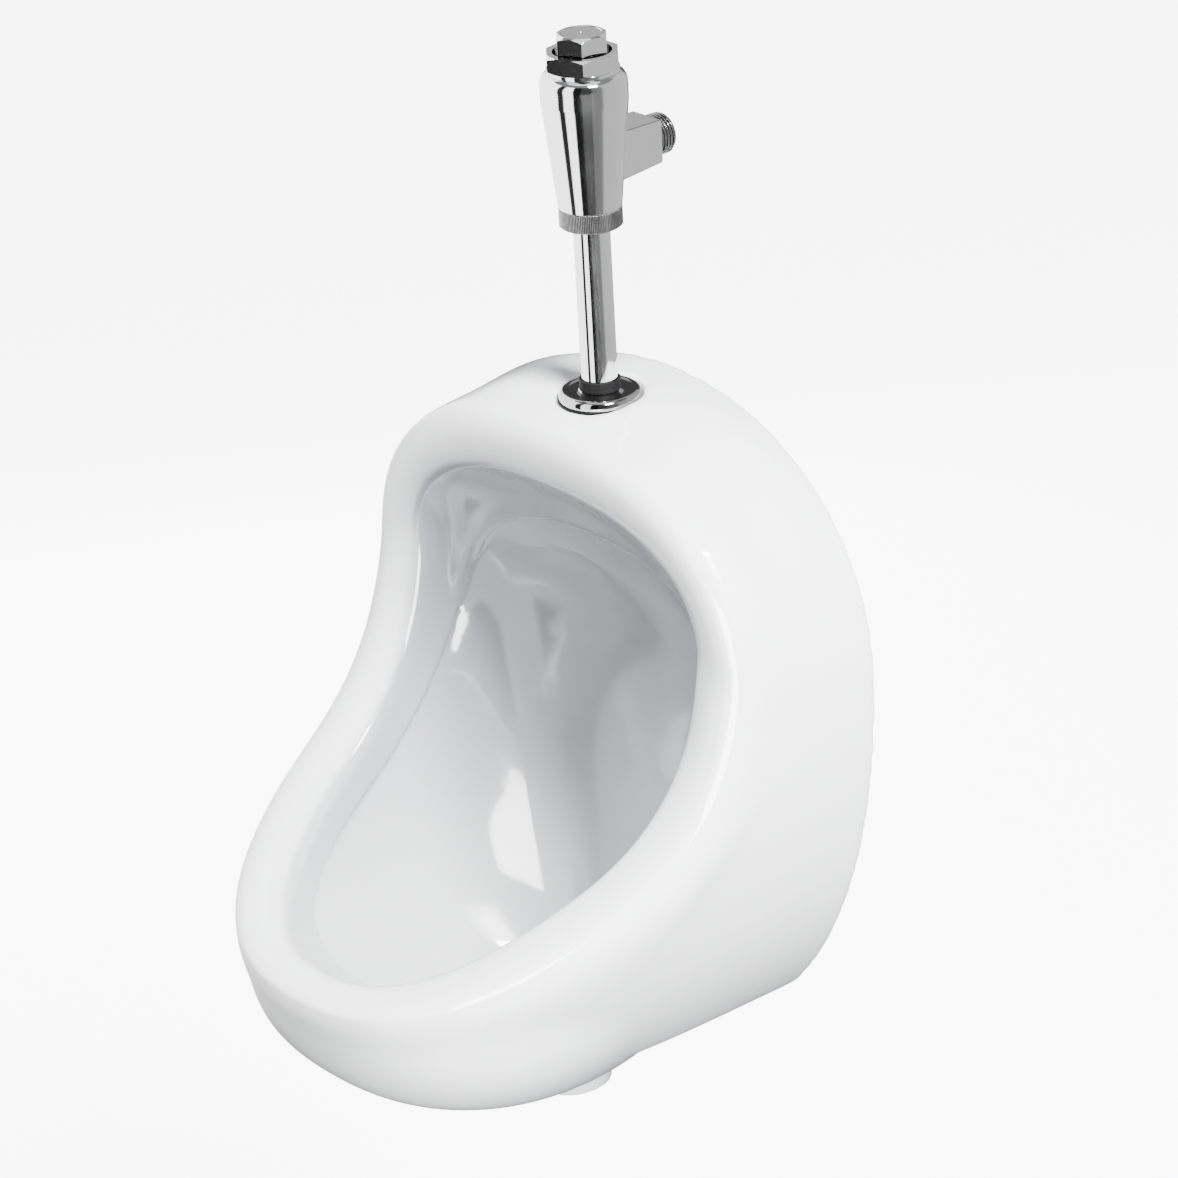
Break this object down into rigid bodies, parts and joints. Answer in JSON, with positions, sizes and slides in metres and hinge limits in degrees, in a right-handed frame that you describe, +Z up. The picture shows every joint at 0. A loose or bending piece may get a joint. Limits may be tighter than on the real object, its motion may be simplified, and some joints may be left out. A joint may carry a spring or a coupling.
{
  "type": "urinal",
  "caption": "Wall-hung ceramic urinal with a flared rim, top inlet pipe and an exposed push-button timed flush valve.",
  "frame": {"origin": "middle of the line between the two wall hook screw holes, on the wall plane", "axes": "+Z up, +Y into the wall, -Y out to the user, +X to the right seen from the user"},
  "size_m": [0.2864, 0.2614, 0.5475],
  "materials": {
    "glazed_ceramic": "glossy white glaze",
    "polished_chrome": "polished",
    "black_rubber": "matte",
    "stainless": "brushed",
    "zinc_steel": "zinc plated",
    "raw_brass": "machined",
    "white_acetal": "moulded",
    "spring_steel": "drawn wire"
  },
  "bodies": {
    "urinal": {"ceramic_bowl": "glazed_ceramic", "wall_hook_left": "zinc_steel", "wall_hook_right": "zinc_steel", "strainer_gasket": "black_rubber", "outlet_strainer": "stainless", "strainer_screw": "stainless", "strainer_bridge": "raw_brass", "inlet_seal": "black_rubber", "inlet_gasket": "black_rubber", "inlet_rosette": "polished_chrome", "pipe_seal_ring": "black_rubber", "flush_pipe": "polished_chrome", "coupling_nut": "polished_chrome", "coupling_seal": "black_rubber", "valve_body": "polished_chrome", "inlet_filter": "stainless", "cartridge_sleeve": "white_acetal", "sleeve_seal": "black_rubber", "return_spring": "spring_steel", "bonnet_nut": "polished_chrome", "bonnet_ring": "polished_chrome", "stem_ring": "black_rubber", "button_spring": "spring_steel"},
    "button": {"push_button": "polished_chrome", "button_stem": "raw_brass"},
    "spool": {"valve_spool": "raw_brass", "spool_ring_lower": "black_rubber", "spool_ring_upper": "black_rubber"}
  },
  "joints": [
    {"name": "button_press", "type": "slide", "parent": "urinal", "child": "button", "axis": [0, 0, -1], "range_m": [0, 0.006], "stiffness_N_per_m": 600, "springref_m": -0.003, "deforming": ["button_spring"]},
    {"name": "spool_press", "type": "slide", "parent": "urinal", "child": "spool", "axis": [0, 0, -1], "range_m": [0, 0.006], "stiffness_N_per_m": 300, "springref_m": -0.003, "deforming": ["return_spring"]}
  ],
  "couplings": [
    {"joint": "spool_press", "follows": "button_press", "ratio": 1}
  ]
}
